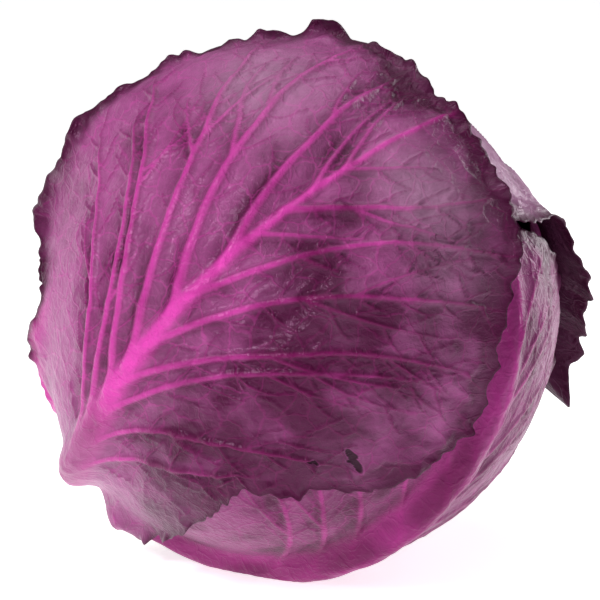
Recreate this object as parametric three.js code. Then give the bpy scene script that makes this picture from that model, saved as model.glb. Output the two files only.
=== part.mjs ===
// A red cabbage head lying on its side: a stem core, a tight heart, six inner leaves and five wrapper
// leaves. Millimetres, +Z up, resting on z = 0 with the centre of its box over the origin.
//
// The head is modelled in its own frame, stem towards -Z and crown towards +Z, and laid over at the end.
// A place on the head is a longitude about that axis and a colatitude counted from the stem.
// A leaf is drawn flat around its own middle: x across it, y from its base to its tip.
import * as THREE from 'three'

// --- Head ---
const BALL_RADIUS = 74.5 // the packed ball under the wrapper leaves
const SHOULDER = 3 // how much the ball swells towards the stem
const SHOULDER_SPREAD = 40 // degrees of colatitude
const FLOOR_DEPTH = 73 // how far below its centre the ball is pressed flat
const PRESS_BLEND = 1.2 // softness of the edge of the pressed patch
const CENTRE = [-2.6, 1.1, 76.9] // centre of the ball
const TILT = 40 // the crown leans this far from upright
const TURN = -18 // direction of the lean, about the vertical
const SPIN = -84 // turn of the head about its own axis

// --- Leaves ---
const NOMINAL_RADIUS = 80 // radius on which leaf outlines are measured
const BLADE = 1.3
const LEAF_GAP = 1
const EDGE_BLEND = 0.14 // share of a leaf's reach over which the next leaf climbs onto it
const LEAF_ROWS = 18
const RIB_GATHER = 0.28 // how far the columns of a leaf's mesh gather along its midrib
const ROW_GATHER = 1.25 // above 1, the rows of a leaf's mesh gather towards its margin
const CLASP_STEP = 0.5 // a leaf's base is shortened by this much at a time
const CURL_START = 0.72 // share of a leaf's reach where its margin begins to stand off
const RIB_FULL_Y = -70 // below this the midrib keeps its full height
const RIB_HOOK_Y = -60
const RIB_SPREAD = 1.8 // a leaf lying over a rib bridges this much more than the rib's width

// --- Stem core and heart ---
const STEM_CLEARANCE = 13.6 // wrapper leaves end at this colatitude
const INNER_STEM_CLEARANCE = 20
const HEART_RADIUS = 56
const SOCKET_GAP = 0.8
// Radius and height of the core, with the height running towards the stem.
const CORE_PROFILE = [
  [0, -9], [4.5, -3], [8, 14], [12, 38], [15.5, 60], [16.5, 74], [17.6, 82], [16.6, 84.2], [0, 84.8],
]
const SOCKET_MOUTH = 15.8 // radius of the heart's socket where it opens
const LATHE_SIDES = 32
const HEART_STEPS = 18 // pieces of the heart's profile round its ball
const MATT = 0.6
const SOFT_GLOSS = 0.5
const WAXY_GLOSS = 0.45

// --- Inner leaves ---
const INNER_LEAVES = 6
const INNER_STEP = 2.6 // depth of one inner leaf, with its gap
const INNER_BLADE = 1.6
const LEAF_TURN = 144 // from one leaf to the next round the stem
const INNER_COLUMNS = 22
const INNER_ROWS = 10

const STEP = 20 // degrees between the values of an outline
// Wrapper leaves from the innermost out. reach: distance from the leaf's middle to its margin, every STEP
// degrees from the right-hand side, tip upwards. stand: how far the margin stands off the head there.
const wrappers = [
  {
    name: 'underside_wrapper_leaf',
    colour: 0x7a2a62,
    at: [111, 90],
    columns: 52,
    rib: { height: 6.2, width: 8.5, offset: 0, slope: 0, hook: 0 },
    reach: [84, 84, 86, 88, 90, 88, 84, 80, 78, 76, 76, 80, 92, 110, 110, 92, 84, 84],
    stand: [0, 0, 0, 0, 0, 0, 0, 0, 0, 0, 0, 0, 0, 0, 0, 0, 0, 0],
  },
  {
    name: 'left_wrapper_leaf',
    colour: 0xb03590,
    at: [-80, 92],
    columns: 36,
    rib: { height: 4.5, width: 7.5, offset: 0, slope: 3, hook: 0 },
    reach: [76, 78, 80, 84, 86, 86, 82, 80, 78, 76, 76, 80, 94, 112, 112, 94, 84, 78],
    stand: [0, 0, 0, 0, 0, 0, 0, 0, 0, 0, 0, 0, 0, 0, 0, 0, 0, 0],
  },
  {
    name: 'lower_wrapper_leaf',
    colour: 0xa93a8c,
    at: [57, 88],
    columns: 60,
    rib: { height: 6.4, width: 8, offset: 0, slope: 3, hook: -110 },
    reach: [76, 82, 88, 90, 92, 92, 88, 80, 76, 74, 78, 84, 92, 112, 102, 79, 72, 72],
    stand: [3, 2, 0, 0, 0, 0, 0, 0, 0, 0, 0, 0, 0, 0, 0, 0, 1, 2],
  },
  {
    name: 'back_wrapper_leaf',
    colour: 0x9b7396,
    at: [-150, 115],
    columns: 44,
    rib: { height: 5, width: 8, offset: 0, slope: 0, hook: 0 },
    reach: [112, 108, 106, 112, 122, 128, 119, 123, 124, 110, 108, 112, 124, 146, 146, 124, 116, 112],
    stand: [0, 0, 0, 0, 0, 0, 2, 9, 8, 5, 3, 2, 1, 0, 0, 0, 0, 0],
  },
  {
    name: 'front_wrapper_leaf',
    colour: 0x8c3f78,
    at: [-18, 96],
    columns: 52,
    rib: { height: 5.6, width: 7.5, offset: -1.5, slope: 2, hook: -50 },
    reach: [82, 93, 95, 102, 106, 110, 118, 107, 98, 88, 84, 70, 94, 120, 114, 82, 60, 66],
    stand: [2, 3, 3, 3, 3, 3, 3, 3, 4, 4, 4, 4, 7, 0, 0, 1, 1, 1],
  },
]

const clamp01 = (t) => Math.min(Math.max(t, 0), 1)
const smooth = (t) => clamp01(t) ** 2 * (3 - 2 * clamp01(t))
const radians = THREE.MathUtils.degToRad
const degrees = THREE.MathUtils.radToDeg

const lean = new THREE.Quaternion().setFromEuler(new THREE.Euler(0, radians(TILT), radians(TURN), 'ZYX'))
const spin = new THREE.Quaternion().setFromAxisAngle(new THREE.Vector3(0, 0, 1), radians(SPIN))
const layDown = lean.clone().multiply(spin)
const down = new THREE.Vector3(0, 0, -1).applyQuaternion(layDown.clone().invert())

function direction(longitude, colatitude) {
  const lon = radians(longitude)
  const col = radians(colatitude)
  return new THREE.Vector3(Math.sin(col) * Math.cos(lon), Math.sin(col) * Math.sin(lon), -Math.cos(col))
}

function colatitudeOf(dir) {
  return degrees(Math.acos(THREE.MathUtils.clamp(-dir.z, -1, 1)))
}

// The ball's radius in a direction, with its swelling at the stem and its flat underneath.
function ballRadius(dir) {
  const round = BALL_RADIUS + SHOULDER * Math.exp(-((colatitudeOf(dir) / SHOULDER_SPREAD) ** 2))
  const descent = dir.dot(down)
  if (descent < 0.5) {
    return round
  }
  const pressed = FLOOR_DEPTH / descent
  return -PRESS_BLEND * Math.log(Math.exp(-round / PRESS_BLEND) + Math.exp(-pressed / PRESS_BLEND))
}

// The middle of a leaf and its two directions: x to the right and y to the tip, seen from outside.
function leafAxes([longitude, colatitude]) {
  const middle = direction(longitude, colatitude)
  const toTip = direction(longitude, colatitude + 90)
  const across = new THREE.Vector3().crossVectors(toTip, middle)
  return { middle, across, toTip }
}

function toHead({ middle, across, toTip }, x, y) {
  const distance = Math.hypot(x, y)
  const arc = distance / NOMINAL_RADIUS
  const side = distance > 0 ? Math.sin(arc) / distance : 0
  return middle.clone().multiplyScalar(Math.cos(arc)).addScaledVector(across, x * side)
    .addScaledVector(toTip, y * side).normalize()
}

function toLeaf({ middle, across, toTip }, dir) {
  const arc = Math.acos(THREE.MathUtils.clamp(dir.dot(middle), -1, 1))
  const side = Math.hypot(dir.dot(across), dir.dot(toTip)) || 1
  const scale = (arc * NOMINAL_RADIUS) / side
  return [dir.dot(across) * scale, dir.dot(toTip) * scale]
}

// A smooth closed curve through values that stand STEP degrees apart.
function around(values, angle) {
  const n = values.length
  const place = (((degrees(angle) / STEP) % n) + n) % n
  const i = Math.floor(place)
  const t = place - i
  const [a, b, c, d] = [-1, 0, 1, 2].map((k) => values[(i + k + n) % n])
  return b + 0.5 * t * (c - a + t * (2 * a - 5 * b + 4 * c - d + t * (3 * (b - c) + d - a)))
}

// Distance to the margin at an angle. Near its base a leaf is cut short where it clasps the stem.
function reachAt(leaf, angle) {
  let reach = around(leaf.reach, angle)
  while (colatitudeOf(toHead(leaf.axes, reach * Math.cos(angle), reach * Math.sin(angle))) < leaf.clearance) {
    reach -= CLASP_STEP
  }
  return reach
}

// Height of the midrib above the blade. Over it, another leaf bridges a wider hump.
function ribHeight(leaf, x, y, spread = 1) {
  const { height, width, offset, slope, hook } = leaf.rib
  const tip = leaf.reach[90 / STEP | 0]
  const share = clamp01((tip - y) / (tip - RIB_FULL_Y))
  const centre = offset + (slope * y) / 100 + hook * (Math.min(0, y - RIB_HOOK_Y) / 100) ** 2
  const reach = 1.6 * width * (0.25 + 0.75 * share) * spread
  return 0.5 * height * share * (1 + Math.cos(Math.PI * clamp01(Math.abs(x - centre) / reach)))
}

// How much a leaf raises whatever lies on it in this direction.
function layerOf(leaf, dir) {
  const [x, y] = toLeaf(leaf.axes, dir)
  const share = Math.hypot(x, y) / around(leaf.reach, Math.atan2(y, x))
  const cover = 1 - smooth((share - 1) / EDGE_BLEND)
  return cover * (BLADE + LEAF_GAP + ribHeight(leaf, x, y, RIB_SPREAD))
}

function wrapperSupport(dir, below) {
  return below.reduce((radius, leaf) => radius + layerOf(leaf, dir), ballRadius(dir))
}

// Keeps a point of the head at or above the surface that the head lies on.
function liftToFloor(point) {
  const below = point.dot(down) - CENTRE[2]
  return below > 0 ? point.addScaledVector(down, -below) : point
}

// One closed leaf: a sphere's upper half becomes its outer face and its lower half its inner face, and
// the columns gather along the midrib.
function leafGeometry(leaf, columns, rows) {
  const geometry = new THREE.SphereGeometry(1, columns, rows)
  const place = geometry.attributes.position
  const p = new THREE.Vector3()
  for (let i = 0; i < place.count; i++) {
    p.fromBufferAttribute(place, i)
    const turn = Math.atan2(p.x, p.z)
    const angle = turn + leaf.gather * Math.sin(2 * turn)
    const depth = Math.acos(THREE.MathUtils.clamp(Math.abs(p.y), 0, 1)) / (Math.PI / 2)
    const share = 1 - (1 - depth) ** ROW_GATHER
    const reach = reachAt(leaf, angle) * share
    const x = reach * Math.cos(angle)
    const y = reach * Math.sin(angle)
    const dir = toHead(leaf.axes, x, y)
    const thickness = leaf.blade + ribHeight(leaf, x, y)
    const rim = depth > 0.999
    const outside = rim ? 0.5 : Number(p.y > 0)
    const stand = around(leaf.stand, angle) * clamp01((share - CURL_START) / (1 - CURL_START)) ** 2
    const radius = leaf.support(dir) + stand + thickness * outside
    p.copy(liftToFloor(dir.multiplyScalar(radius)))
    place.setXYZ(i, p.x, p.y, p.z)
  }
  geometry.deleteAttribute('uv')
  geometry.computeVertexNormals()
  return geometry
}

function leafMesh(leaf, columns, rows, roughness) {
  const material = new THREE.MeshStandardMaterial({ color: leaf.colour, roughness, metalness: 0 })
  const mesh = new THREE.Mesh(leafGeometry(leaf, columns, rows), material)
  mesh.name = leaf.name
  return mesh
}

function addWrappers(head) {
  wrappers.forEach((leaf, i) => {
    const below = wrappers.slice(0, i)
    Object.assign(leaf, {
      axes: leafAxes(leaf.at),
      clearance: STEM_CLEARANCE,
      blade: BLADE,
      gather: RIB_GATHER,
      support: (dir) => wrapperSupport(dir, below),
    })
    head.add(leafMesh(leaf, leaf.columns, LEAF_ROWS, WAXY_GLOSS))
  })
}

function addInnerLeaves(head) {
  for (let i = 0; i < INNER_LEAVES; i++) {
    const depth = INNER_STEP * (INNER_LEAVES - i)
    const leaf = {
      name: `inner_leaf_${i + 1}`,
      colour: i % 2 ? 0xc65aa8 : 0xb9529c,
      at: [30 + LEAF_TURN * i, 95],
      axes: leafAxes([30 + LEAF_TURN * i, 95]),
      rib: { height: 0, width: 8, offset: 0, slope: 0, hook: 0 },
      reach: [96, 98, 100, 102, 104, 104, 102, 100, 98, 96, 94, 96, 104, 116, 116, 104, 96, 94],
      stand: new Array(360 / STEP).fill(0),
      clearance: INNER_STEM_CLEARANCE,
      blade: INNER_BLADE,
      gather: 0,
      support: (dir) => ballRadius(dir) - depth,
    }
    head.add(leafMesh(leaf, INNER_COLUMNS, INNER_ROWS, SOFT_GLOSS))
  }
}

function latheMesh(name, profile, colour, roughness) {
  const points = profile.map(([radius, height]) => new THREE.Vector2(radius, height))
  const material = new THREE.MeshStandardMaterial({ color: colour, roughness, metalness: 0 })
  const mesh = new THREE.Mesh(new THREE.LatheGeometry(points, LATHE_SIDES), material)
  mesh.name = name
  mesh.rotation.x = -Math.PI / 2 // the profile's height runs towards the stem
  return mesh
}

function widenForSocket([radius, height]) {
  return radius > 0 ? [radius + SOCKET_GAP, height] : [0, height - SOCKET_GAP]
}

// The heart is a ball with a socket for the core. Its profile runs round the ball and back down the socket.
function heartProfile() {
  const socket = CORE_PROFILE.filter(([, height]) => height < HEART_RADIUS - 10).map(widenForSocket)
  const start = Math.asin(SOCKET_MOUTH / HEART_RADIUS)
  const ball = []
  for (let i = 0; i <= HEART_STEPS; i++) {
    const angle = start + ((Math.PI - start) * i) / HEART_STEPS
    ball.push([i < HEART_STEPS ? HEART_RADIUS * Math.sin(angle) : 0, HEART_RADIUS * Math.cos(angle)])
  }
  return [...socket, ...ball].reverse()
}

const head = new THREE.Group()
head.quaternion.copy(layDown)
head.position.set(...CENTRE)
head.add(latheMesh('stem_core', CORE_PROFILE, 0xd9c9cf, MATT))
head.add(latheMesh('heart', heartProfile(), 0xc77ab5, SOFT_GLOSS))
addInnerLeaves(head)
addWrappers(head)

export default head
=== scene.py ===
import math

import bpy
import numpy as np
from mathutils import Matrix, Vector


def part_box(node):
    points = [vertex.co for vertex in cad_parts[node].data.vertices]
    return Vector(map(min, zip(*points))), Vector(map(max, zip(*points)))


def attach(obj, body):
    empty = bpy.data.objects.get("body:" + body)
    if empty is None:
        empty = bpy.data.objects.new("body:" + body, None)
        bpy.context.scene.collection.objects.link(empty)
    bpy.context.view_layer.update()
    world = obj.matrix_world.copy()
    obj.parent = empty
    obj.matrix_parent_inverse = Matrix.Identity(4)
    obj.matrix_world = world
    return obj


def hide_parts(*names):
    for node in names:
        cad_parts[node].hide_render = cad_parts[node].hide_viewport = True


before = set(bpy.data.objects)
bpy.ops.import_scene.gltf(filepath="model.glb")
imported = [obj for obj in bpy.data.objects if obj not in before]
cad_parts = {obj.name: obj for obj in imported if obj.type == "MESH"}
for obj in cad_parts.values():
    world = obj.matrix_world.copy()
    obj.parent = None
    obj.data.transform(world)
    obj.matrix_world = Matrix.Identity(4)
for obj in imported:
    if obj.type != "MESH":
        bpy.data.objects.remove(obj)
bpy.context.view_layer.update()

MM = 0.001

# --- Head, as the CAD model has it ---
BALL_RADIUS = 74.5
SHOULDER, SHOULDER_SPREAD = 3.0, 40.0
FLOOR_DEPTH = 73.0
PRESS_BLEND = 1.2
TILT, TURN, SPIN = 40.0, -18.0, -84.0
CENTRE_HEIGHT = 76.9
NOMINAL_RADIUS = 80.0
BLADE, LEAF_GAP = 1.3, 1.0
EDGE_BLEND = 0.14
CURL_START = 0.72
RIB_FULL_Y, RIB_HOOK_Y, RIB_SPREAD = -70.0, -60.0, 1.8
STEP = 20
STEM_CLEARANCE, INNER_STEM_CLEARANCE = 13.6, 20.0
INNER_LEAVES, INNER_STEP, INNER_BLADE, LEAF_TURN = 6, 2.6, 1.6, 144
HEART_RADIUS, SOCKET_GAP, SOCKET_MOUTH = 56.0, 0.8, 15.8
CORE_PROFILE = [(0, -9), (4.5, -3), (8, 14), (12, 38), (15.5, 60), (16.5, 74), (17.6, 82),
                (16.6, 84.2), (0, 84.8)]

# --- Leaf detail ---
RIM_BLADE = 0.55  # thickness of a leaf at its margin
RIM_TAPER = 9.0  # how far in from the margin it thins
TEETH_SHARE = 0.8  # share of a leaf's reach where its toothed margin begins
STEM_CALM = (18.0, 34.0)  # colatitudes between which margins turn from smooth to toothed
VEIN_STEP = 2.4  # length of one piece of a vein
VEIN_END = 0.36  # width of a vein's end, as a share of its start
TWIG_WIDTH, TWIG_END = 0.5, 0.3
VEIN_ROOM = 3  # a vein's ridge is looked for this many widths to each side
SHADE_FROM = 1.05  # width from which a vein has a strip of painted shade on the blade beside it
SHADE_ROOM, SHADE_REACH, SHADE_BLEND = 16.0, 6.5, 4.0
LEFT_SHADE = 1.5  # the strips of painted shade are this much darker on the left of the midrib
COVER_START, COVER_BLEND = 0.86, 0.1  # relief fades where another leaf lies on this one
MARGIN_SHARE = 0.76  # share of a leaf's reach where its ruffled margin begins
LEAST_TILT = 1e-3  # radians, so that a flat margin divides safely
NOISE_CELLS = 64
REACH_SAMPLES, CLASP_STEP, CLASP_TRIES = 720, 0.2, 400
PIT_DEPTH = 0.86  # share of a leaf's thickness that a pit takes away
SPARE_UV = 0.012  # width of the strip of texture space kept for a leaf's rim


def clamp01(t):
    return np.clip(t, 0.0, 1.0)


def smooth(t):
    t = clamp01(t)
    return t * t * (3 - 2 * t)


def turn_about(axis, degrees):
    c, s = math.cos(math.radians(degrees)), math.sin(math.radians(degrees))
    if axis == "z":
        return np.array([[c, -s, 0], [s, c, 0], [0, 0, 1]])
    return np.array([[c, 0, s], [0, 1, 0], [-s, 0, c]])


LAY_DOWN = turn_about("z", TURN) @ turn_about("y", TILT) @ turn_about("z", SPIN)
DOWN = LAY_DOWN.T @ np.array([0.0, 0.0, -1.0])
HEART_LOW, HEART_HIGH = (np.array(corner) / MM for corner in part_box("heart"))
CENTRE = np.append(((HEART_LOW + HEART_HIGH) / 2)[:2], CENTRE_HEIGHT)


def direction(longitude, colatitude):
    lon, col = math.radians(longitude), math.radians(colatitude)
    return np.array([math.sin(col) * math.cos(lon), math.sin(col) * math.sin(lon), -math.cos(col)])


def colatitude_of(dirs):
    return np.degrees(np.arccos(np.clip(-dirs[:, 2], -1, 1)))


def ball_radius(dirs):
    """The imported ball's radius, with its swelling at the stem and its flat underneath."""
    full = BALL_RADIUS + SHOULDER * np.exp(-((colatitude_of(dirs) / SHOULDER_SPREAD) ** 2))
    descent = dirs @ DOWN
    pressed = FLOOR_DEPTH / np.maximum(descent, 0.5)
    soft = -PRESS_BLEND * np.logaddexp(-full / PRESS_BLEND, -pressed / PRESS_BLEND)
    return np.where(descent < 0.5, full, soft)


def leaf_axes(at):
    middle = direction(*at)
    to_tip = direction(at[0], at[1] + 90)
    return np.array([np.cross(to_tip, middle), to_tip, middle])


def to_head(axes, x, y):
    distance = np.hypot(x, y)
    arc = distance / NOMINAL_RADIUS
    side = np.where(distance > 1e-9, np.sin(arc) / np.maximum(distance, 1e-9), 1 / NOMINAL_RADIUS)
    return (x * side)[:, None] * axes[0] + (y * side)[:, None] * axes[1] + np.cos(arc)[:, None] * axes[2]


def to_leaf(axes, dirs):
    local = dirs @ axes.T
    arc = np.arccos(np.clip(local[:, 2], -1, 1))
    scale = arc * NOMINAL_RADIUS / np.maximum(np.hypot(local[:, 0], local[:, 1]), 1e-9)
    return local[:, 0] * scale, local[:, 1] * scale


def ring(values, turns):
    """A smooth closed curve through evenly spaced values; turns counts whole rounds."""
    values = np.asarray(values, float)
    n = len(values)
    place = np.mod(turns * n, n)
    i = np.floor(place).astype(int)
    t = place - i
    a, b, c, d = (values[(i + k) % n] for k in (-1, 0, 1, 2))
    return b + 0.5 * t * (c - a + t * (2 * a - 5 * b + 4 * c - d + t * (3 * (b - c) + d - a)))


def around(values, angle):
    return ring(values, angle / (2 * np.pi))


def ring_noise(angle, knots, seed):
    return around(np.random.default_rng(seed).uniform(-1, 1, knots), angle)


def noise(x, y, size, seed):
    """Smooth noise between -1 and 1, with features about size across."""
    table = np.random.default_rng(seed).uniform(-1, 1, (NOISE_CELLS, NOISE_CELLS))
    u, v = x / size, y / size
    i, j = np.floor(u).astype(int), np.floor(v).astype(int)
    fu, fv = smooth(u - i), smooth(v - j)
    i, j, next_i, next_j = (k % NOISE_CELLS for k in (i, j, i + 1, j + 1))
    low = table[i, j] * (1 - fu) + table[next_i, j] * fu
    high = table[i, next_j] * (1 - fu) + table[next_i, next_j] * fu
    return low * (1 - fv) + high * fv


def rib_height(leaf, x, y, spread=1.0):
    rib = leaf["rib"]
    tip = leaf["reach"][4]
    share = clamp01((tip - y) / (tip - RIB_FULL_Y))
    half = 1.6 * rib["width"] * (0.25 + 0.75 * share) * spread
    away = np.abs(x - rib_centre(leaf, y))
    return 0.5 * rib["height"] * share * (1 + np.cos(np.pi * clamp01(away / half)))


def rib_centre(leaf, y):
    rib = leaf["rib"]
    hook = rib["hook"] * (np.minimum(0, y - RIB_HOOK_Y) / 100) ** 2
    return rib["offset"] + rib["slope"] * y / 100 + hook


def layer_of(leaf, dirs):
    """How much a leaf raises whatever lies on it."""
    x, y = to_leaf(leaf["axes"], dirs)
    share = np.hypot(x, y) / around(leaf["reach"], np.arctan2(y, x))
    cover = 1 - smooth((share - 1) / EDGE_BLEND)
    return cover * (BLADE + LEAF_GAP + rib_height(leaf, x, y, RIB_SPREAD))


def reach_table(leaf):
    """Distance to the margin all round, cut short where the leaf clasps the stem."""
    angle = np.linspace(0, 2 * np.pi, REACH_SAMPLES + 1)[:-1]
    reach = around(leaf["reach"], angle)
    for _ in range(CLASP_TRIES):
        rim = to_head(leaf["axes"], reach * np.cos(angle), reach * np.sin(angle))
        close = colatitude_of(rim) < leaf["clearance"]
        if not close.any():
            break
        reach = np.where(close, reach - CLASP_STEP, reach)
    rim = to_head(leaf["axes"], reach * np.cos(angle), reach * np.sin(angle))
    calm = smooth((colatitude_of(rim) - STEM_CALM[0]) / (STEM_CALM[1] - STEM_CALM[0]))
    return reach, calm


# ---------------------------------------------------------------- veins
def grow(start, heading, turn, length, rng, wander=7.0):
    """A vein from start. Heading is in degrees from the leaf's tip, towards its right-hand side."""
    n = max(3, int(round(length / VEIN_STEP)))
    s = (np.arange(n) + 0.5) / n
    sway = np.cumsum(rng.normal(0, wander / math.sqrt(n), n))
    angle = np.radians(heading + turn * s + sway - sway.mean() * s)
    steps = np.stack([np.sin(angle), np.cos(angle)], 1) * (length / n)
    return np.vstack([start, np.asarray(start) + np.cumsum(steps, 0)]), np.degrees(angle)


def grow_vein(found, start, heading, turn, length, width, forks, rng):
    """Adds a vein, its forks (share along it, angle off, length) and fine branchlets."""
    points, headings = grow(start, heading, turn, length, rng)
    found.append((points, width, width * VEIN_END))
    for share, off, reach in forks:
        i = min(int(share * len(headings)), len(headings) - 1)
        thick = width * (1 - 0.7 * share) * 0.8
        grow_vein(found, points[i], headings[i] + off, -off * 0.45, reach, thick, (), rng)
    side = 1
    gone = rng.uniform(8, 14)
    while gone < length - 5:
        i = min(int(gone / length * len(headings)), len(headings) - 1)
        off = side * rng.uniform(38, 62)
        twig, _ = grow(points[i], headings[i] + off, -off * 0.7, rng.uniform(9, 19), rng, 16)
        found.append((twig, TWIG_WIDTH, TWIG_END))
        side = -side
        gone += rng.uniform(5, 9)


def plain_veins(leaf, seed, pairs=8, length=100):
    """A feather of side veins for a leaf that shows little of itself."""
    rng = np.random.default_rng(seed)
    found = []
    for side in (-1, 1):
        for k in range(pairs):
            share = (k + 0.35 * rng.uniform(-1, 1) + (0.5 if side > 0 else 0)) / pairs
            y = -72 + 140 * share
            forks = [(rng.uniform(0.35, 0.5), side * 30, 30 * (1 - share) + 14),
                     (rng.uniform(0.6, 0.75), side * 28, 18)]
            grow_vein(found, (rib_centre(leaf, np.array(y)), y), side * rng.uniform(20, 32),
                      side * (48 - 20 * share), length * (1.05 - 0.55 * share), 1.7 - 0.6 * share,
                      forks, rng)
    return found


def front_veins(leaf):
    """The front leaf's veins: side, where it leaves the midrib, heading, turn, length, width, forks."""
    rng = np.random.default_rng(11)
    veins = [
        (-1, -78, 8, 70, 126, 1.7, [(0.5, 30, 26)]),
        (-1, -70, 4, 76, 128, 1.9, [(0.42, -30, 15)]),
        (-1, -45, 15, 66, 122, 2.0, [(0.55, -38, 40), (0.6, -60, 34)]),
        (-1, -28, 22, 24, 130, 2.1, [(0.5, 38, 26), (0.56, -34, 40)]),
        (-1, -6, 27, -10, 122, 2.2, [(0.4, 26, 46), (0.56, 30, 32), (0.8, -32, 24)]),
        (-1, 16, 20, -10, 96, 1.9, [(0.55, 24, 34)]),
        (-1, 48, 26, -14, 52, 1.2, []),
        (-1, 60, 28, -16, 48, 1.1, []),
        (1, -82, 34, 22, 84, 1.5, [(0.55, 24, 30), (0.8, -35, 12)]),
        (1, -68, 22, 56, 102, 1.4, [(0.4, 30, 22), (0.62, -24, 26)]),
        (1, -52, 20, 46, 116, 1.5, [(0.55, 34, 30), (0.66, 34, 34)]),
        (1, -36, 24, 42, 120, 1.6, [(0.42, 26, 50), (0.7, 30, 26)]),
        (1, -20, 20, 44, 124, 1.6, [(0.42, 28, 48), (0.52, -26, 42)]),
        (1, 1, 22, 28, 116, 1.6, [(0.3, 40, 16), (0.58, 34, 28)]),
        (1, 27, 40, 10, 36, 1.2, []),
        (1, 38, 38, -4, 72, 1.7, [(0.28, 26, 40)]),
        (1, 60, 34, 10, 34, 1.1, []),
    ]
    found = []
    for side, y, heading, turn, length, width, forks in veins:
        start = (float(rib_centre(leaf, np.array(float(y)))), y)
        grow_vein(found, start, side * heading, side * turn, length, width,
                  [(share, side * off, reach) for share, off, reach in forks], rng)
    return found


def lay_veins(x, y, veins):
    """Height of the veins, how much of the colour at a point is vein, and the painted shade below each
    vein.
    """
    ridge = np.zeros(len(x))
    mask = np.zeros(len(x))
    shade = np.zeros(len(x))
    for points, wide, narrow in veins:
        room = SHADE_ROOM if wide > SHADE_FROM else VEIN_ROOM * wide
        low, high = points.min(0) - room, points.max(0) + room
        near = np.flatnonzero((x > low[0]) & (x < high[0]) & (y > low[1]) & (y < high[1]))
        if not near.size:
            continue
        start, along = points[:-1], np.diff(points, axis=0)
        px = x[near][:, None] - start[:, 0]
        py = y[near][:, None] - start[:, 1]
        t = clamp01((px * along[:, 0] + py * along[:, 1]) / (along ** 2).sum(1))
        away = np.hypot(px - t * along[:, 0], py - t * along[:, 1])
        k = away.argmin(1)
        row = np.arange(len(near))
        gone = (k + t[row, k]) / len(start)
        width = wide + (narrow - wide) * gone
        fade = 1 - smooth((gone - 0.8) / 0.2)
        d = away[row, k] / width
        ridge[near] = np.maximum(ridge[near], np.exp(-(d ** 2)) * 0.5 * width * fade)
        full = clamp01(0.25 + 0.6 * width)
        mask[near] = np.maximum(mask[near], np.exp(-((1.3 * d) ** 3)) * fade * full)
        # painted shade: a darker strip of blade below each wider vein
        if wide > SHADE_FROM:
            side = np.sign(points[-1, 0] - points[0, 0])
            turned = (along[k, 0] * py[row, k] - along[k, 1] * px[row, k]) * side
            below = clamp01(0.5 - turned / (np.hypot(along[k, 0], along[k, 1]) * SHADE_BLEND))
            strip = np.exp(-(away[row, k] / SHADE_REACH) ** 1.5) * below * (1 - gone ** 3)
            shade[near] = np.maximum(shade[near], strip)
    return ridge, mask, shade


# ---------------------------------------------------------------- leaves
def disc_grid(n):
    """Share of the reach and angle at every point of an n by n grid folded into a disc."""
    line = np.linspace(-1, 1, n)
    a, b = np.meshgrid(line, line)
    wide = np.abs(a) > np.abs(b)
    big = np.where(wide, a, b)
    ratio = np.where(wide, b, a) / np.where(big == 0, 1, big)
    angle = np.where(wide, ratio * np.pi / 4, np.pi / 2 - ratio * np.pi / 4)
    angle = angle + np.where(big < 0, np.pi, 0)
    return np.abs(big).ravel(), np.mod(angle, 2 * np.pi).ravel()


def bumps(angle, places):
    """Sum of soft bumps round a leaf: (degrees, half width, height)."""
    total = np.zeros(len(angle))
    for at, half, height in places:
        away = (np.degrees(angle) - at + 180) % 360 - 180
        total += height * np.exp(-((away / half) ** 2))
    return total


def pit_mask(x, y, pits):
    """Ragged holes eaten into a leaf: x, y, half length, half width, direction in degrees."""
    mask = np.zeros(len(x))
    for k, (px, py, long, wide, turn) in enumerate(pits):
        c, s = math.cos(math.radians(turn)), math.sin(math.radians(turn))
        u, v = (x - px) * c + (y - py) * s, (y - py) * c - (x - px) * s
        ragged = 1 + 0.5 * ring_noise(np.arctan2(v, u), 11, 70 + k)
        away = np.hypot(u / long, v / wide) / ragged
        mask = np.maximum(mask, 1 - smooth((away - 0.75) / 0.5))
    return mask


def grain_of(leaf, x, y):
    """Coordinates that run across and along the side veins, for the blade's streaks."""
    side = np.where(x > rib_centre(leaf, y), 1.0, -1.0)
    lean = np.radians(40 + 14 * clamp01((20 - y) / 80))
    across = side * x * np.cos(lean) - y * np.sin(lean)
    along = side * x * np.sin(lean) + y * np.cos(lean)
    return np.stack([across, 0.22 * along, 40 * side], 1)


def toothed_length(leaf, share, angle, reach, calm):
    """Distance along the leaf of every point, with teeth and notches near the margin."""
    seed, detail = leaf["seed"], leaf["detail"]
    edge_share = clamp01((share - TEETH_SHARE) / (1 - TEETH_SHARE))
    teeth = 1.5 * ring_noise(angle, 30, seed) + 1.1 * ring_noise(angle, 80, seed + 1)
    teeth = teeth + 0.9 * np.abs(ring_noise(angle, 150, seed + 2))
    teeth = teeth + 0.6 * ring_noise(angle, 260, seed + 3) - 0.8
    length = reach * share + detail["teeth"] * calm * teeth * edge_share ** 2
    return length + calm * bumps(angle, detail["notches"]) * edge_share


def roll_margin(leaf, angle, length, reach, calm):
    """Distance, rise and tilt of every point once the last stretch before the margin has rolled back."""
    detail, strip = leaf["detail"], leaf["detail"]["strip"]
    uneven = detail["lift"] * 0.8 * ring_noise(angle, 44, leaf["seed"] + 4)
    roll = np.radians(np.maximum(0, bumps(angle, detail["rolls"]) + detail["lift"] + uneven)) * calm
    over = np.maximum(0, length - (reach - strip))
    bend = np.maximum(roll, LEAST_TILT) / strip
    tilt = bend * over
    inwards = np.where(over > 0, np.sin(tilt) / bend, 0)
    rise = np.where(over > 0, (1 - np.cos(tilt)) / bend, 0)
    return np.minimum(length, reach - strip) + inwards, rise, tilt


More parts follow.
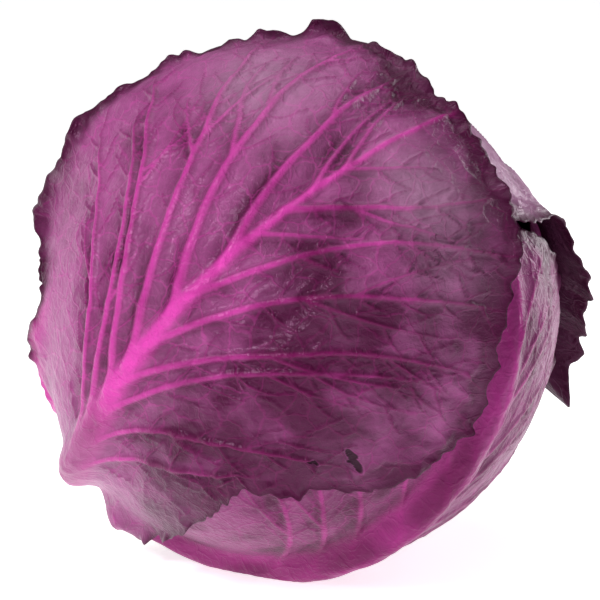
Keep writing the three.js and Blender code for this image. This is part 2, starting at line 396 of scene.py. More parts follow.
def support_under(leaf, dirs):
    """Radius that the leaf lies on, and 1 where no other leaf covers it."""
    support = ball_radius(dirs)
    if leaf["inner"]:
        support = support - leaf["depth"]
    for lower in leaf["below"]:
        support = support + layer_of(lower, dirs)
    open_share = np.ones(len(dirs))
    for upper in leaf["above"]:
        x, y = to_leaf(upper["axes"], dirs)
        share = np.hypot(x, y) / around(upper["reach"], np.arctan2(y, x))
        open_share = open_share * smooth((share - COVER_START) / COVER_BLEND)
    return support, open_share


def rib_of(leaf, x, y, edge_fade):
    """Height of the midrib, its shape from 0 to 1, and how much of the colour is midrib."""
    detail = leaf["detail"]
    away = np.abs(x - rib_centre(leaf, y))
    wide = detail["rib_narrow"] + detail["rib_grow"] * clamp01((85 - y) / 170) ** 2.2
    shape = np.exp(-((away / wide) ** 3))
    colour = shape ** 1.6
    if detail["flank"]:
        offset, half = detail["flank"]
        beside = x - rib_centre(leaf, y) - offset
        colour = np.maximum(colour, 0.85 * np.exp(-((beside / half) ** 4)))
    if detail["cad_rib"]:
        height = rib_height(leaf, x, y)
    else:
        height = shape * detail["rib_rise"] * wide
    height = height + detail["swell"] * smooth((-y - 52) / 34) * np.exp(-(((x + 6) / 20) ** 2))
    return height * edge_fade, shape, colour


def wrinkles(leaf, x, y, vein, t):
    """Soft swelling between the veins and sharper creases, both stronger towards the margin."""
    seed, detail = leaf["seed"], leaf["detail"]
    swell = noise(x, y, 9, seed + 7) + 0.6 * noise(x, y, 4.2, seed + 8)
    crinkle = detail["crinkle"] * (0.35 + 1.4 * t + 1.8 * t ** 3) * swell * (1 - 0.7 * vein)
    crease = 0.28 - np.abs(noise(x, y, 8, seed + 9) + 0.5 * noise(x, y, 3.6, seed + 10))
    return crinkle + detail["crease"] * crease * (0.4 + 0.9 * smooth((x + 5) / 40) + 0.6 * t)


def ruffle(leaf, angle, t, calm, open_share):
    """How far the ruffled margin stands off."""
    seed, detail = leaf["seed"], leaf["detail"]
    wave = 0.5 + 0.5 * ring_noise(angle, 34, seed + 5) + 0.45 * ring_noise(angle, 78, seed + 6)
    height = detail["frill"] * (1 + bumps(angle, detail["ruffles"])) * calm * t ** 2 * wave
    return np.maximum(height, 0) * open_share


def leaf_surface(leaf, n):
    """Both faces of a leaf on an n by n grid, in the head's frame, and what its material reads."""
    detail = leaf["detail"]
    share, angle = disc_grid(n)
    reach_all, calm_all = reach_table(leaf)
    turns = angle / (2 * np.pi)
    reach, calm = ring(reach_all, turns), ring(calm_all, turns)
    length = toothed_length(leaf, share, angle, reach, calm)
    flat, rise, tilt = roll_margin(leaf, angle, length, reach, calm)
    dirs = to_head(leaf["axes"], flat * np.cos(angle), flat * np.sin(angle))
    support, open_share = support_under(leaf, dirs)
    rise, tilt = rise * open_share, tilt * open_share
    stand = around(leaf["stand"], angle) * clamp01((share - CURL_START) / (1 - CURL_START)) ** 2
    t = clamp01((share - MARGIN_SHARE) / (1 - MARGIN_SHARE))
    frill = ruffle(leaf, angle, t, calm, open_share)

    to_edge = reach * (1 - share)
    edge_fade = smooth(to_edge / 6)
    thick = leaf["blade"] - (leaf["blade"] - RIM_BLADE) * (1 - smooth(to_edge / RIM_TAPER)) * calm
    x, y = share * reach * np.cos(angle), share * reach * np.sin(angle)
    ridge, vein, shade = lay_veins(x, y, leaf["veins"])
    rib, rib_shape, rib_colour = rib_of(leaf, x, y, edge_fade)
    ridges = ridge * detail["veins"] * (1 - 0.8 * rib_shape) * (0.3 + 0.7 * edge_fade)
    relief = (ridges + wrinkles(leaf, x, y, vein, t)) * (0.25 + 0.75 * open_share)
    relief = relief - detail["quilt"] * open_share * edge_fade * np.exp(-((ridge / 0.15) ** 2))
    pits = pit_mask(x, y, detail["pits"])
    outer = (thick + rib + np.maximum(relief, -0.6 * thick)) * (1 - PIT_DEPTH * pits)
    seep = np.minimum(np.maximum(relief, 0), 0.5) * t if detail["deep"] else 0 * t

    outward = to_head(leaf["axes"], (flat + 0.5) * np.cos(angle), (flat + 0.5) * np.sin(angle)) - dirs
    outward /= np.linalg.norm(outward, axis=1)[:, None]
    base = dirs * (support + stand + frill + rise)[:, None]
    normal = dirs * np.cos(tilt)[:, None] - outward * np.sin(tilt)[:, None]
    faces = [base + normal * outer[:, None], base + normal * seep[:, None]]
    # painted rim light: a band of midrib colour along the margin at the listed angles
    blush = bumps(angle, detail["blush"]) * np.exp(-((to_edge / 9) ** 2))
    looks = {
        "vein": vein,
        "rib": np.maximum(rib_colour, blush),
        "edge": to_edge,
        "dark": leaf["dark"](x, y, angle, share, to_edge),
        "pale": leaf["pale"](x, y),
        "shade": shade * np.where(x < rib_centre(leaf, y), LEFT_SHADE, 1.0),
        "painted_sheen": leaf["painted_sheen"](x, y),
        "pit": pits,
        "leaf": np.stack([x, y, np.zeros(len(x))], 1),
        "grain": grain_of(leaf, x, y),
    }
    return faces, looks


def lift_to_floor(points):
    below = points @ DOWN - CENTRE_HEIGHT
    return points - np.maximum(below, 0)[:, None] * DOWN


def to_row(points):
    """From the head's frame to the row's, in metres."""
    return (lift_to_floor(points) @ LAY_DOWN.T + CENTRE) * MM


def rim_of(n):
    """The grid's border as a loop."""
    line = np.arange(n)
    return np.concatenate([line[:-1], (line[:-1] + 1) * n - 1, n * n - 1 - line[:-1],
                           (n - 1 - line[:-1]) * n])


def quads_of(n, start, flip):
    i = (np.arange(n - 1)[:, None] * n + np.arange(n - 1)[None, :]).ravel() + start
    corners = [i, i + 1, i + n + 1, i + n]
    return np.stack(corners[::-1] if flip else corners, 1)


def mesh_object(name, points, faces, looks, uv=None):
    mesh = bpy.data.meshes.new(name)
    mesh.from_pydata(points.tolist(), [], faces)
    for key, values in looks.items():
        kind = "FLOAT_VECTOR" if values.ndim == 2 else "FLOAT"
        mesh.attributes.new(key, kind, "POINT").data.foreach_set(
            "vector" if values.ndim == 2 else "value", values.astype(np.float32).ravel())
    if uv is not None:
        mesh.uv_layers.new(name="OFBake").data.foreach_set("uv", uv.astype(np.float32).ravel())
    mesh.shade_smooth()
    mesh.update()
    piece = bpy.data.objects.new(name, mesh)
    bpy.context.scene.collection.objects.link(piece)
    return piece


def build_leaf(leaf, n, coarse=2):
    """One closed leaf. The inner face uses every coarse-th point of the outer face's grid."""
    (outer, inner), looks = leaf_surface(leaf, n)
    m = (n - 1) // coarse + 1
    pick = (np.arange(m)[:, None] * coarse * n + np.arange(m)[None, :] * coarse).ravel()
    points = to_row(np.vstack([outer, inner[pick]]))
    first = n * n
    faces = np.vstack([quads_of(n, 0, False), quads_of(m, first, True)]).tolist()
    rim, inner_rim = rim_of(n), rim_of(m) + first
    around_n, around_m = len(rim), len(inner_rim)
    line = np.linspace(0.015, 0.985, n)
    wide, high = np.meshgrid(line, line)
    uv_outer = np.stack([wide.ravel(), 0.01 + high.ravel() * 0.7], 1)
    line = np.linspace(0.0, 1.0, m)
    wide, high = np.meshgrid(line, line)
    uv_inner = np.stack([0.02 + wide.ravel() * 0.5, 0.72 + high.ravel() * 0.27], 1)
    uv_point = np.vstack([uv_outer, uv_inner])
    loops = [uv_point[np.array(f)] for f in faces]
    middle = np.array([0.5, 0.36])
    for k in range(around_m):
        a, b = inner_rim[k], inner_rim[(k + 1) % around_m]
        chain = [rim[(coarse * k + j) % around_n] for j in range(coarse + 1)]
        push = {a: chain[0], b: chain[-1]}
        half = max(1, coarse // 2)
        strips = [[chain[j + 1], chain[j], a if j < half else b] for j in range(coarse)]
        strips.insert(half, [chain[half], a, b])
        for tri in strips:
            faces.append([int(v) for v in tri])
            loops.append(np.array([
                uv_point[v] if v < first else uv_outer[push[v]] + SPARE_UV * (
                    uv_outer[push[v]] - middle) / np.abs(uv_outer[push[v]] - middle).max()
                for v in tri]))
    looks = {key: np.concatenate([v, v[pick]]) for key, v in looks.items()}
    looks["inside"] = np.concatenate([np.zeros(first), np.ones(m * m)])
    return mesh_object(leaf["name"] + "_skin", points, faces, looks, np.vstack(loops))


# What a wrapper leaf has unless its own entry says otherwise.
PLAIN = dict(teeth=0.6, notches=[], rolls=[], lift=0, strip=8.0, frill=0.8, ruffles=[], crinkle=0.22,
             crease=0.3, veins=0.85, quilt=0.15, rib_narrow=1.2, rib_grow=6.2, rib_rise=0.68, cad_rib=False,
             flank=None, swell=0.0, blush=[], pits=[], deep=False)


def no_marks(x, y, *rest):
    return np.zeros(len(x))


def margin_dark(seed, depth=7.0):
    def dark(x, y, angle, share, to_edge):
        wave = 1 + 0.5 * ring_noise(angle, 40, seed)
        return np.exp(-((to_edge / (depth * wave)) ** 2))
    return dark


def soft_spots(x, y, places):
    """Sum of soft elliptical spots: x, y, half width, half height, strength."""
    return sum(w * np.exp(-(((x - px) / wx) ** 2 + ((y - py) / wy) ** 2)) for px, py, wx, wy, w in places)


def front_dark(x, y, angle, share, to_edge):
    """Plum over the right side and the tip, in soft patches between the veins; darker to the right and
    lower right as painted shade.
    """
    # painted shade: the right side and lower right, turned from the key lamp, darker
    side = 0.62 * smooth((x + 6) / 44)
    low = 0.45 * smooth((10 - y) / 60) * smooth((x - 2) / 26)
    patch = soft_spots(x, y, [
        (24, 30, 16, 9, 0.6), (32, 14, 16, 8, 0.5), (58, -4, 18, 14, 0.45), (10, 48, 9, 11, 0.3),
        (-58, 22, 12, 12, 0.35), (-8, 99, 30, 12, 1.1), (40, 62, 16, 12, 0.2), (-30, 6, 7, 12, 0.3),
        (60, -28, 18, 16, 0.35), (60, 30, 14, 14, 0.35), (-20, 50, 5, 14, 0.2)])
    blotch = 0.30 * noise(x, y, 11, 90) + 0.20 * noise(x, y, 5, 91)
    wave = 1 + 0.6 * ring_noise(angle, 40, 92)
    wide_spots = [(60, 22, 5), (92, 10, 3), (108, 12, 4.5), (140, 16, 2.5), (30, 14, 3)]
    broad = 5.5 + bumps(angle, wide_spots)
    rim = 0.95 * np.exp(-((to_edge / (broad * wave)) ** 2))
    calm = smooth((y + 92) / 20)
    return clamp01((side + low + patch + blotch * (0.8 + 0.5 * side)) * 0.9 + rim * calm)


def lower_dark(x, y, angle, share, to_edge):
    """Deep plum along the midrib's flank and in long streaks, a dark margin."""
    flank = 0.7 * np.exp(-(((x + 7) / 9) ** 2))
    streaks = 0.5 * noise(x, 0.25 * y, 4, 93) + 0.25 * noise(x, y, 12, 94)
    return clamp01(0.15 + flank + streaks + np.exp(-((to_edge / 5) ** 2)))


def lower_crest_highlight(x, y):
    """A pale line of bloom colour down the midrib's crest, fading towards the tip: a painted highlight."""
    return 0.5 * np.exp(-(((x - 1) / 1.6) ** 2)) * smooth((70 - y) / 50)


def front_sheen(x, y):
    """Painted sheen in the bloom's colour, thickest under the upper margin and on the lower lobe."""
    return soft_spots(x, y, [(-46, 58, 20, 16, 0.75), (20, 74, 18, 13, 0.7), (46, 62, 14, 12, 0.3),
                             (-4, -74, 9, 18, 0.75), (14, -90, 12, 10, 0.35)])


def front_pale(x, y):
    """The light area at the base and along the left."""
    base = np.exp(-(((x + 4) / 26) ** 2 + ((y + 74) / 34) ** 2))
    left = 0.2 * np.exp(-(((x + 26) / 24) ** 2 + ((y - 22) / 60) ** 2))
    return clamp01(base + left)


def wrapper(name, at, rib, reach, stand, seed, dark, pale=no_marks, painted_sheen=no_marks, grid=181, coarse=2,
            **detail):
    keys = ("height", "width", "offset", "slope", "hook")
    return dict(name=name, at=at, axes=leaf_axes(at), rib=dict(zip(keys, rib)), reach=reach, stand=stand,
                seed=seed, dark=dark, pale=pale, painted_sheen=painted_sheen, grid=grid, coarse=coarse,
                detail=dict(PLAIN, **detail), clearance=STEM_CLEARANCE, blade=BLADE, inner=False, depth=0)


def wrapper_leaves():
    """The five wrapper leaves from the innermost out. Rib: height, width, offset, slope, hook."""
    flat = [0] * (360 // STEP)
    leaves = [
        wrapper("underside_wrapper_leaf", (111, 90), (6.2, 8.5, 0, 0, 0),
                [84, 84, 86, 88, 90, 88, 84, 80, 78, 76, 76, 80, 92, 110, 110, 92, 84, 84], flat, 100,
                margin_dark(101), grid=161, cad_rib=True),
        wrapper("left_wrapper_leaf", (-80, 92), (4.5, 7.5, 0, 3, 0),
                [76, 78, 80, 84, 86, 86, 82, 80, 78, 76, 76, 80, 94, 112, 112, 94, 84, 78], flat, 200,
                margin_dark(201), grid=181),
        wrapper("lower_wrapper_leaf", (57, 88), (6.4, 8, 0, 3, -110),
                [76, 82, 88, 90, 92, 92, 88, 80, 76, 74, 78, 84, 92, 112, 102, 79, 72, 72],
                [3, 2, 0, 0, 0, 0, 0, 0, 0, 0, 0, 0, 0, 0, 0, 0, 1, 2], 300,
                lower_dark, grid=221, cad_rib=True, frill=1.4, lift=14, flank=(-6, 6),
                painted_sheen=lower_crest_highlight),
        wrapper("back_wrapper_leaf", (-150, 115), (5, 8, 0, 0, 0),
                [112, 108, 106, 112, 122, 128, 119, 117, 120, 112, 108, 112, 124, 146, 146, 124, 116, 112],
                [0, 0, 0, 0, 0, 0, 2, 5, 6, 4, 3, 2, 1, 0, 0, 0, 0, 0], 400,
                margin_dark(401, 9.0), grid=221, coarse=1, teeth=1.5, frill=3.0, lift=16, strip=12.0,
                rolls=[(116, 9, 60), (138, 10, 24), (154, 6, 30)],
                notches=[(123, 9, -9), (112, 8, -5), (166, 4, 12)], deep=True, crease=1.0,
                ruffles=[(320, 26, -1.0)]),
        wrapper("front_wrapper_leaf", (-18, 96), (5.6, 7.5, -1.5, 2, -50),
                [82, 93, 95, 102, 106, 110, 118, 107, 98, 88, 84, 70, 94, 120, 114, 82, 60, 66],
                [2, 2, 2, 2, 2, 2, 2, 2, 3, 3, 3, 2, 3, 0, 0, 1, 1, 1], 500,
                front_dark, front_pale, grid=271, teeth=1.2, frill=1.1, lift=9, strip=5.0, crinkle=0.46,
                rolls=[(168, 4, 60), (182, 4, 70), (155, 3, 90), (138, 3, 70), (127, 3, 110), (112, 4, 80),
                       (92, 4, 60), (72, 4, 50), (58, 4, 40)],
                # the margin band at 250 and 232 degrees is painted rim light on the lower lobe
                veins=1.3, quilt=0.6, swell=4.2, painted_sheen=front_sheen, blush=[(250, 16, 0.9), (232, 8, 0.8)],
                pits=[(66, -4, 5.5, 1.5, -25), (57, -12, 2.6, 0.8, 30)], crease=0.9,
                ruffles=[(118, 22, 1.4), (60, 16, 0.8)]),
    ]
    for i, leaf in enumerate(leaves):
        leaf["below"], leaf["above"] = leaves[:i], leaves[i + 1:]
        plain = leaf["name"] != "front_wrapper_leaf"
        leaf["veins"] = plain_veins(leaf, leaf["seed"] + 50) if plain else front_veins(leaf)
    return leaves


def inner_leaves():
    reach = [96, 98, 100, 102, 104, 104, 102, 100, 98, 96, 94, 96, 104, 116, 116, 104, 96, 94]
    leaves = []
    for i in range(INNER_LEAVES):
        at = (30 + LEAF_TURN * i, 95)
        leaf = wrapper(f"inner_leaf_{i + 1}", at, (0, 8, 0, 0, 0), reach, [0] * (360 // STEP), 600 + 20 * i,
                       margin_dark(601 + 20 * i), grid=97, veins=0.25, crinkle=0.1, frill=0, teeth=0.5,
                       quilt=0.05, rib_rise=0.06)
        leaf.update(clearance=INNER_STEM_CLEARANCE, blade=INNER_BLADE, inner=True,
                    depth=INNER_STEP * (INNER_LEAVES - i), below=[], above=[])
        leaf["veins"] = plain_veins(leaf, leaf["seed"] + 9, pairs=7, length=95)
        leaves.append(leaf)
    return leaves


# ---------------------------------------------------------------- heart and stem
def refine(profile, step):
    """The profile with extra points, so that no piece is longer than step."""
    out = [profile[0]]
    for a, b in zip(profile, profile[1:]):
        n = max(1, math.ceil(math.dist(a, b) / step))
        out += [(a[0] + (b[0] - a[0]) * k / n, a[1] + (b[1] - a[1]) * k / n) for k in range(1, n + 1)]
    return out


def revolve(name, profile, sides, relief):
    """A closed turned piece about the head's axis, from a profile of (radius, height to the stem)."""
    body = np.array(profile[1:-1])
    turn = np.arange(sides) * 2 * np.pi / sides
    radius = np.repeat(body[:, 0], sides)
    height = np.repeat(body[:, 1], sides)
    angle = np.tile(turn, len(body))
    radius = np.maximum(radius + relief(radius, height, angle), 0.2)
    points = np.stack([radius * np.cos(angle), radius * np.sin(angle), -height], 1)
    ends = [[0, 0, -profile[0][1]], [0, 0, -profile[-1][1]]]
    points = np.vstack([points, ends])
    first, last = len(points) - 2, len(points) - 1
    faces = []
    for k in range(sides):
        j = (k + 1) % sides
        faces.append([first, j, k])
        for i in range(len(body) - 1):
            a, b = i * sides, (i + 1) * sides
            faces.append([a + k, a + j, b + j, b + k])
        top = (len(body) - 1) * sides
        faces.append([last, top + k, top + j])
    looks = {"axis": np.stack([points[:, 0], points[:, 1], -points[:, 2]], 1)}
    return mesh_object(name, (points @ LAY_DOWN.T + CENTRE) * MM, faces, looks)


def stem_relief(radius, height, angle):
    side = smooth((height - 60) / 15) * smooth((radius - 4) / 8)
    return side * (0.35 * np.sin(9 * angle + 0.1 * height) + 0.25 * ring_noise(angle, 31, 7) - 0.4)


def heart_relief(radius, height, angle):
    skin = smooth((np.hypot(radius, height) - 50) / 4)
    across, along = radius * np.cos(angle) * 0.5 + 40, height * 0.5 + radius * np.sin(angle)
    return skin * (0.7 * noise(across, along, 6, 8) - 0.7)


def heart_profile():
    socket = []
    for radius, height in CORE_PROFILE:
        if height < HEART_RADIUS - 10:
            socket.append((radius + SOCKET_GAP, height) if radius > 0 else (0, height - SOCKET_GAP))
    start = math.asin(SOCKET_MOUTH / HEART_RADIUS)
    ball = []
    for i in range(37):
        angle = start + (math.pi - start) * i / 36
        ball.append((HEART_RADIUS * math.sin(angle) if i < 36 else 0, HEART_RADIUS * math.cos(angle)))
    return refine((socket + ball)[::-1], 3.0)


# ---------------------------------------------------------------- materials
class Graph:
    """Builds one material's nodes."""

    def __init__(self, name):
        self.material = bpy.data.materials.new(name)
        self.material.use_nodes = True
        self.tree = self.material.node_tree
        self.tree.nodes.clear()

    def add(self, kind, inputs=None, **settings):
        node = self.tree.nodes.new("ShaderNode" + kind)
        for key, value in settings.items():
            setattr(node, key, value)
        for key, value in (inputs or {}).items():
            if isinstance(value, bpy.types.NodeSocket):
                self.tree.links.new(value, node.inputs[key])
            else:
                node.inputs[key].default_value = value
        return node

    def attribute(self, name, output="Fac"):
        return self.add("Attribute", attribute_name=name, attribute_type="GEOMETRY").outputs[output]

    def math(self, operation, a, b=0.0, clamp=False):
        return self.add("Math", {0: a, 1: b}, operation=operation, use_clamp=clamp).outputs[0]

    def mix(self, factor, a, b):
        node = self.add("Mix", data_type="RGBA")
        for key, value in ((0, factor), (6, a), (7, b)):
            if isinstance(value, bpy.types.NodeSocket):
                self.tree.links.new(value, node.inputs[key])
            else:
                node.inputs[key].default_value = value
        return node.outputs[2]

    def fit(self, value, low, high, to_low=0.0, to_high=1.0):
        node = self.add("MapRange", {"Value": value, "From Min": low, "From Max": high, "To Min": to_low,
                                     "To Max": to_high}, interpolation_type="SMOOTHSTEP")
        return node.outputs["Result"]

    def noise(self, vector, scale, detail=3.0, rough=0.55):
        return self.add("TexNoise", {"Vector": vector, "Scale": scale, "Detail": detail,
                                     "Roughness": rough}).outputs["Fac"]

    def finish(self, colour, roughness, height=None, depth=1.0, **constants):
        inputs = {"Base Color": colour, "Roughness": roughness}
        inputs.update({key.replace("_", " "): value for key, value in constants.items()})
        shader = self.add("BsdfPrincipled", inputs)
        if height is not None:
            bump = self.add("Bump", {"Height": height, "Distance": depth * MM, "Strength": 1.0})
            self.tree.links.new(bump.outputs["Normal"], shader.inputs["Normal"])
        out = self.add("OutputMaterial")
        self.tree.links.new(shader.outputs[0], out.inputs[0])
        return self.material


def rgb(r, g, b):
    return (r, g, b, 1.0)


RIB_BASE = rgb(0.25, 0.028, 0.14)
MARGIN_COLOUR = rgb(0.052, 0.003, 0.026)
# The inner face's darker purple, taken to near-black as painted shade in the hollow under the back leaf's
# flap.
INNER_FACE_AND_SHADE = rgb(0.045, 0.006, 0.024)
# Painted shadow at the bottom of each pit, where a hole shows dark.
PIT_SHADE = rgb(0.02, 0.003, 0.01)


def leaf_material(name, light, deep, bloom, vein_light, vein_deep, bloom_share):
    """Leaf skin: veins over a blade that runs from light to deep, a net of fine veins, waxy bloom, painted
    sheen.
    """
    g = Graph(name)
    place = g.add("TexCoord").outputs["Object"]
    leaf, streaks = g.attribute("leaf", "Vector"), g.attribute("grain", "Vector")
    vein, rib = g.attribute("vein"), g.attribute("rib")
    edge, dark, pale, painted_sheen, inside = (g.attribute(k) for k in ("edge", "dark", "pale", "painted_sheen", "inside"))
    pit, shade = g.attribute("pit"), g.attribute("shade")
    off_rib = g.math("SUBTRACT", 1.0, g.fit(rib, 0.02, 0.3))
    streak = g.math("MULTIPLY", g.math("SUBTRACT", g.noise(streaks, 0.45, 4.0, 0.6), 0.5), off_rib)

    cloud = g.noise(place, 55.0, 4.0)
    grain = g.noise(place, 420.0, 4.0, 0.65)
    drift = g.add("TexNoise", {"Vector": leaf, "Scale": 0.16, "Detail": 2.0})
    warp = g.add("VectorMath", {0: drift.outputs["Color"], 1: (0.5, 0.5, 0.5)}, operation="SUBTRACT")
    warp = g.add("VectorMath", {0: warp.outputs[0], "Scale": 5.0}, operation="SCALE")
    bent = g.add("VectorMath", {0: leaf, 1: warp.outputs[0]}, operation="ADD").outputs[0]

    def net(scale, low, high):
        cells = g.add("TexVoronoi", {"Vector": bent, "Scale": scale}, voronoi_dimensions="2D",
                      feature="DISTANCE_TO_EDGE")
        return g.fit(cells.outputs["Distance"], low, high, 1.0, 0.0)

    coarse_net = net(0.13, 0.015, 0.07)
    fine_net = net(0.42, 0.02, 0.12)

    tone = g.math("ADD", dark, g.math("MULTIPLY", g.math("SUBTRACT", cloud, 0.5), 0.7), True)
    tone = g.math("SUBTRACT", tone, g.math("MULTIPLY", pale, 0.35), True)
    tone = g.math("ADD", tone, g.math("MULTIPLY", streak, 0.5), True)
    # painted shade: the strip below each side vein darkens the blade
    blade = g.mix(g.math("ADD", tone, g.math("MULTIPLY", shade, g.fit(cloud, 0.3, 0.7, 0.35, 0.85)), True),
                  light, deep)
    bloom_and_sheen = g.fit(g.noise(place, 32.0, 5.0, 0.6), 0.42, 0.72)
    # the bloom from noise, plus painted sheen where the sheen spots lie
    bloom_and_sheen = g.math("ADD", g.math("MULTIPLY", bloom_and_sheen, bloom_share), g.math("MULTIPLY", painted_sheen, 0.8), True)
    blade = g.mix(bloom_and_sheen, blade, bloom)
    veins = g.mix(tone, vein_light, vein_deep)
    side_veins = g.mix(g.math("ADD", tone, 0.22, True), vein_light, vein_deep)
    colour = g.mix(g.math("MULTIPLY", fine_net, 0.06), blade, veins)
    colour = g.mix(g.math("MULTIPLY", coarse_net, 0.2), colour, veins)
    # painted shade: the blade darkened along both edges of every vein
    vein_edge_shade = g.math("MULTIPLY", g.fit(vein, 0.02, 0.3), g.fit(vein, 0.3, 0.7, 1.0, 0.0))
    colour = g.mix(g.math("MULTIPLY", vein_edge_shade, 0.35), colour, deep)
    colour = g.mix(g.math("MULTIPLY", g.math("POWER", vein, 1.3), 0.85), colour, side_veins)
    colour = g.mix(g.math("MULTIPLY", rib, 0.92), colour, veins)
    base = g.math("MULTIPLY", g.math("MULTIPLY", rib, g.fit(pale, 0.3, 0.8)), 0.8)
    colour = g.mix(base, colour, RIB_BASE)
    # painted sheen: the spots taken further towards the bloom colour
    colour = g.mix(g.math("MULTIPLY", painted_sheen, 0.4), colour, bloom)
    grained = g.math("MULTIPLY", g.math("SUBTRACT", grain, 0.5), 0.5)
    colour = g.mix(g.math("ADD", 0.12, grained, True), colour, deep)
    rim = g.math("MULTIPLY", g.fit(edge, 0.0, 3.2, 1.0, 0.0), g.fit(dark, 0.35, 0.8))
    colour = g.mix(g.math("MULTIPLY", rim, 0.85), colour, MARGIN_COLOUR)
    # inner face: its own darker purple plus painted shade
    colour = g.mix(g.math("MULTIPLY", inside, 0.85), colour, INNER_FACE_AND_SHADE)
    lip = g.math("MULTIPLY", g.fit(pit, 0.0, 0.25), g.fit(pit, 0.25, 0.6, 1.0, 0.0))
    colour = g.mix(g.math("MULTIPLY", lip, 0.3), colour, light)
    # painted shadow: each pit's bottom near-black
    colour = g.mix(g.fit(pit, 0.3, 0.8), colour, PIT_SHADE)

    rough = g.math("ADD", 0.31, g.math("MULTIPLY", bloom_and_sheen, 0.14))
    rough = g.math("ADD", rough, g.math("MULTIPLY", grained, 0.35))
    height = g.math("MULTIPLY", coarse_net, 0.08)
    height = g.math("ADD", height, g.math("MULTIPLY", fine_net, 0.04))
    height = g.math("ADD", height, g.math("MULTIPLY", g.noise(place, 900.0, 3.0), 0.09))
    height = g.math("ADD", height, g.math("MULTIPLY", g.noise(bent, 0.35, 3.0), 0.5))
    height = g.math("ADD", height, g.math("MULTIPLY", streak, 0.25))
    return g.finish(colour, rough, height, 1.0, Specular_IOR_Level=0.24, Specular_Tint=rgb(1.0, 0.6, 0.9))


def stem_material():
    """Pale cut stem: a ring of bundles, a browned rind."""
    g = Graph("stem_flesh")
    axis = g.attribute("axis", "Vector")
    parts = g.add("SeparateXYZ", {0: axis})
    radius = g.math("SQRT", g.math("ADD", g.math("POWER", parts.outputs[0], 2.0),
                                   g.math("POWER", parts.outputs[1], 2.0)))
    grain = g.noise(axis, 0.9, 5.0, 0.65)
    spots = g.add("TexVoronoi", {"Vector": axis, "Scale": 0.55}).outputs["Distance"]
    ring_mask = g.math("MULTIPLY", g.fit(radius, 9.5, 11.0), g.fit(radius, 12.5, 14.0, 1.0, 0.0))
    colour = g.mix(grain, rgb(0.62, 0.5, 0.42), rgb(0.78, 0.68, 0.6))
    bundles = g.math("MULTIPLY", ring_mask, g.fit(spots, 0.2, 0.5, 0.8, 0.1))
    colour = g.mix(bundles, colour, rgb(0.34, 0.16, 0.22))
    colour = g.mix(g.fit(radius, 14.0, 16.6), colour, rgb(0.3, 0.1, 0.18))
    height = g.math("ADD", g.math("MULTIPLY", grain, 0.5), g.math("MULTIPLY", spots, 0.3))
    return g.finish(colour, g.fit(grain, 0.3, 0.7, 0.55, 0.75), height, 0.6)


def heart_material():
    g = Graph("heart_leaf")
    place = g.add("TexCoord").outputs["Object"]
    cloud = g.noise(place, 60.0, 4.0)
    cells = g.add("TexVoronoi", {"Vector": place, "Scale": 70.0}, feature="DISTANCE_TO_EDGE")
    folds = cells.outputs["Distance"]
    colour = g.mix(cloud, rgb(0.62, 0.26, 0.45), rgb(0.35, 0.08, 0.24))
    colour = g.mix(g.fit(folds, 0.0, 0.12, 0.7, 0.0), colour, rgb(0.72, 0.5, 0.6))
    height = g.math("ADD", g.math("MULTIPLY", cloud, 0.6), g.fit(folds, 0.0, 0.2))
    return g.finish(colour, g.fit(cloud, 0.3, 0.7, 0.35, 0.5), height, 0.5)


# ---------------------------------------------------------------- scene
def place_piece(piece, node, material):
    piece.data.materials.append(material)
    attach(piece, "root")
    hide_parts(node)


def build_head():
    front = leaf_material("front_leaf_skin", rgb(0.38, 0.085, 0.265), rgb(0.062, 0.004, 0.032),
                          rgb(0.46, 0.235, 0.385), rgb(0.74, 0.06, 0.44), rgb(0.19, 0.004, 0.09), 0.10)
    lower = leaf_material("lower_leaf_skin", rgb(0.29, 0.055, 0.19), rgb(0.075, 0.007, 0.04),
                          rgb(0.46, 0.15, 0.34), rgb(0.50, 0.035, 0.29), rgb(0.18, 0.005, 0.09), 0.25)
    back = leaf_material("back_leaf_skin", rgb(0.40, 0.15, 0.32), rgb(0.075, 0.014, 0.04),
                         rgb(0.52, 0.36, 0.48), rgb(0.74, 0.34, 0.58), rgb(0.26, 0.03, 0.15), 0.45)
    left = leaf_material("left_leaf_skin", rgb(0.70, 0.07, 0.42), rgb(0.16, 0.015, 0.09),
                         rgb(0.5, 0.25, 0.4), rgb(0.78, 0.12, 0.5), rgb(0.4, 0.02, 0.22), 0.2)
    inner = leaf_material("inner_leaf_skin", rgb(0.58, 0.12, 0.38), rgb(0.2, 0.02, 0.12),
                          rgb(0.5, 0.3, 0.42), rgb(0.76, 0.3, 0.56), rgb(0.5, 0.06, 0.3), 0.2)
    skins = {"underside_wrapper_leaf": lower, "left_wrapper_leaf": left, "lower_wrapper_leaf": lower,
             "back_wrapper_leaf": back, "front_wrapper_leaf": front}
    for leaf in wrapper_leaves():
        piece = build_leaf(leaf, leaf["grid"], leaf["coarse"])
        place_piece(piece, leaf["name"], skins[leaf["name"]])
    for leaf in inner_leaves():
        place_piece(build_leaf(leaf, leaf["grid"]), leaf["name"], inner)
    stem = revolve("stem_core_flesh", refine(CORE_PROFILE, 2.0), 96, stem_relief)
    place_piece(stem, "stem_core", stem_material())
    heart = revolve("heart_flesh", heart_profile(), 96, heart_relief)
    place_piece(heart, "heart", heart_material())


# The camera stands in front of the head, a little above it, and takes in 183 mm at the head's middle.
CAMERA_DISTANCE = 620.0
CAMERA_ELEVATION = 12.0
CAMERA_LENS = 122.0
AIM_ABOVE = 2.4


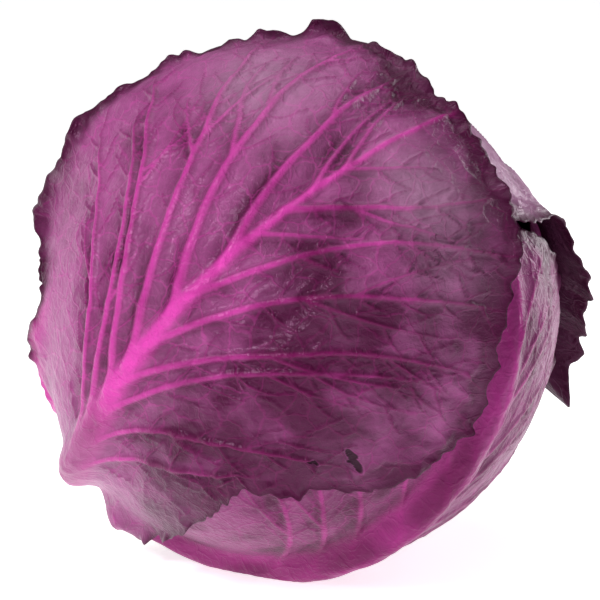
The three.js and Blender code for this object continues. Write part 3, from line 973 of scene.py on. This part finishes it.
def add_camera():
    tilt = math.radians(CAMERA_ELEVATION)
    back = np.array([0, -math.cos(tilt), math.sin(tilt)])
    up = np.array([0, math.sin(tilt), math.cos(tilt)])
    eye = CENTRE + AIM_ABOVE * up + CAMERA_DISTANCE * back
    camera = bpy.data.objects.new("camera", bpy.data.cameras.new("camera"))
    camera.data.lens = CAMERA_LENS
    camera.data.sensor_width = 36.0
    camera.data.clip_start = 0.01
    camera.location = eye * MM
    camera.rotation_euler = (math.pi / 2 - tilt, 0, 0)
    bpy.context.scene.collection.objects.link(camera)
    bpy.context.scene.camera = camera


def add_light(name, place, size, power):
    light = bpy.data.lights.new(name, "AREA")
    light.shape = "DISK"
    light.size = size
    light.energy = power
    lamp = bpy.data.objects.new(name, light)
    lamp.location = place
    aim = Vector(CENTRE * MM) - lamp.location
    lamp.rotation_euler = aim.to_track_quat("-Z", "Y").to_euler()
    bpy.context.scene.collection.objects.link(lamp)


WORLD_LIGHT = 0.17
SKY_POWER, SKY_SPREAD = 0.7, 60.0
FLOOR_HALF, FLOOR_GLOW = 8.0, 0.73
# Name, place, size and power of each lamp, in metres and watts.
LAMPS = [("key", (-0.5, -0.5, 0.62), 0.22, 3.7), ("fill", (0.55, -0.7, 0.3), 0.7, 0.5),
         ("top", (0.05, 0.15, 0.75), 0.5, 1.2), ("rim_left", (-0.62, 0.42, 0.22), 0.45, 0.6),
         ("rim_right", (0.6, 0.45, 0.26), 0.45, 2.6)]


def add_studio():
    world = bpy.data.worlds.new("studio")
    world.use_nodes = True
    tree = world.node_tree
    tree.nodes.clear()
    path = tree.nodes.new("ShaderNodeLightPath")
    seen = tree.nodes.new("ShaderNodeMapRange")
    seen.inputs["To Min"].default_value = WORLD_LIGHT
    seen.inputs["To Max"].default_value = 1.0
    tree.links.new(path.outputs["Is Camera Ray"], seen.inputs["Value"])
    sky = tree.nodes.new("ShaderNodeBackground")
    sky.inputs["Color"].default_value = rgb(1, 1, 1)
    tree.links.new(seen.outputs["Result"], sky.inputs["Strength"])
    out = tree.nodes.new("ShaderNodeOutputWorld")
    tree.links.new(sky.outputs[0], out.inputs[0])
    bpy.context.scene.world = world
    bpy.context.scene.view_settings.view_transform = "Standard"
    bpy.context.scene.view_settings.look = "None"

    corners = [(FLOOR_HALF * x, FLOOR_HALF * y, 0) for x, y in ((-1, -1), (1, -1), (1, 1), (-1, 1))]
    mesh = bpy.data.meshes.new("floor")
    mesh.from_pydata(corners, [], [(0, 1, 2, 3)])
    floor = bpy.data.objects.new("floor", mesh)
    bpy.context.scene.collection.objects.link(floor)
    g = Graph("floor_paper")
    shade = g.noise(g.add("TexCoord").outputs["Object"], 3.0)
    tint = g.mix(shade, rgb(0.93, 0.93, 0.94), rgb(0.95, 0.95, 0.955))
    mesh.materials.append(g.finish(tint, 0.32, Emission_Color=rgb(1, 1, 1), Emission_Strength=FLOOR_GLOW))

    sky = bpy.data.lights.new("sky", "SUN")
    sky.energy = SKY_POWER
    sky.angle = math.radians(SKY_SPREAD)
    lamp = bpy.data.objects.new("sky", sky)
    lamp.rotation_euler = (math.radians(34), 0, math.radians(-32))
    bpy.context.scene.collection.objects.link(lamp)
    for name, place, size, power in LAMPS:
        add_light(name, place, size, power)


build_head()
add_camera()
add_studio()
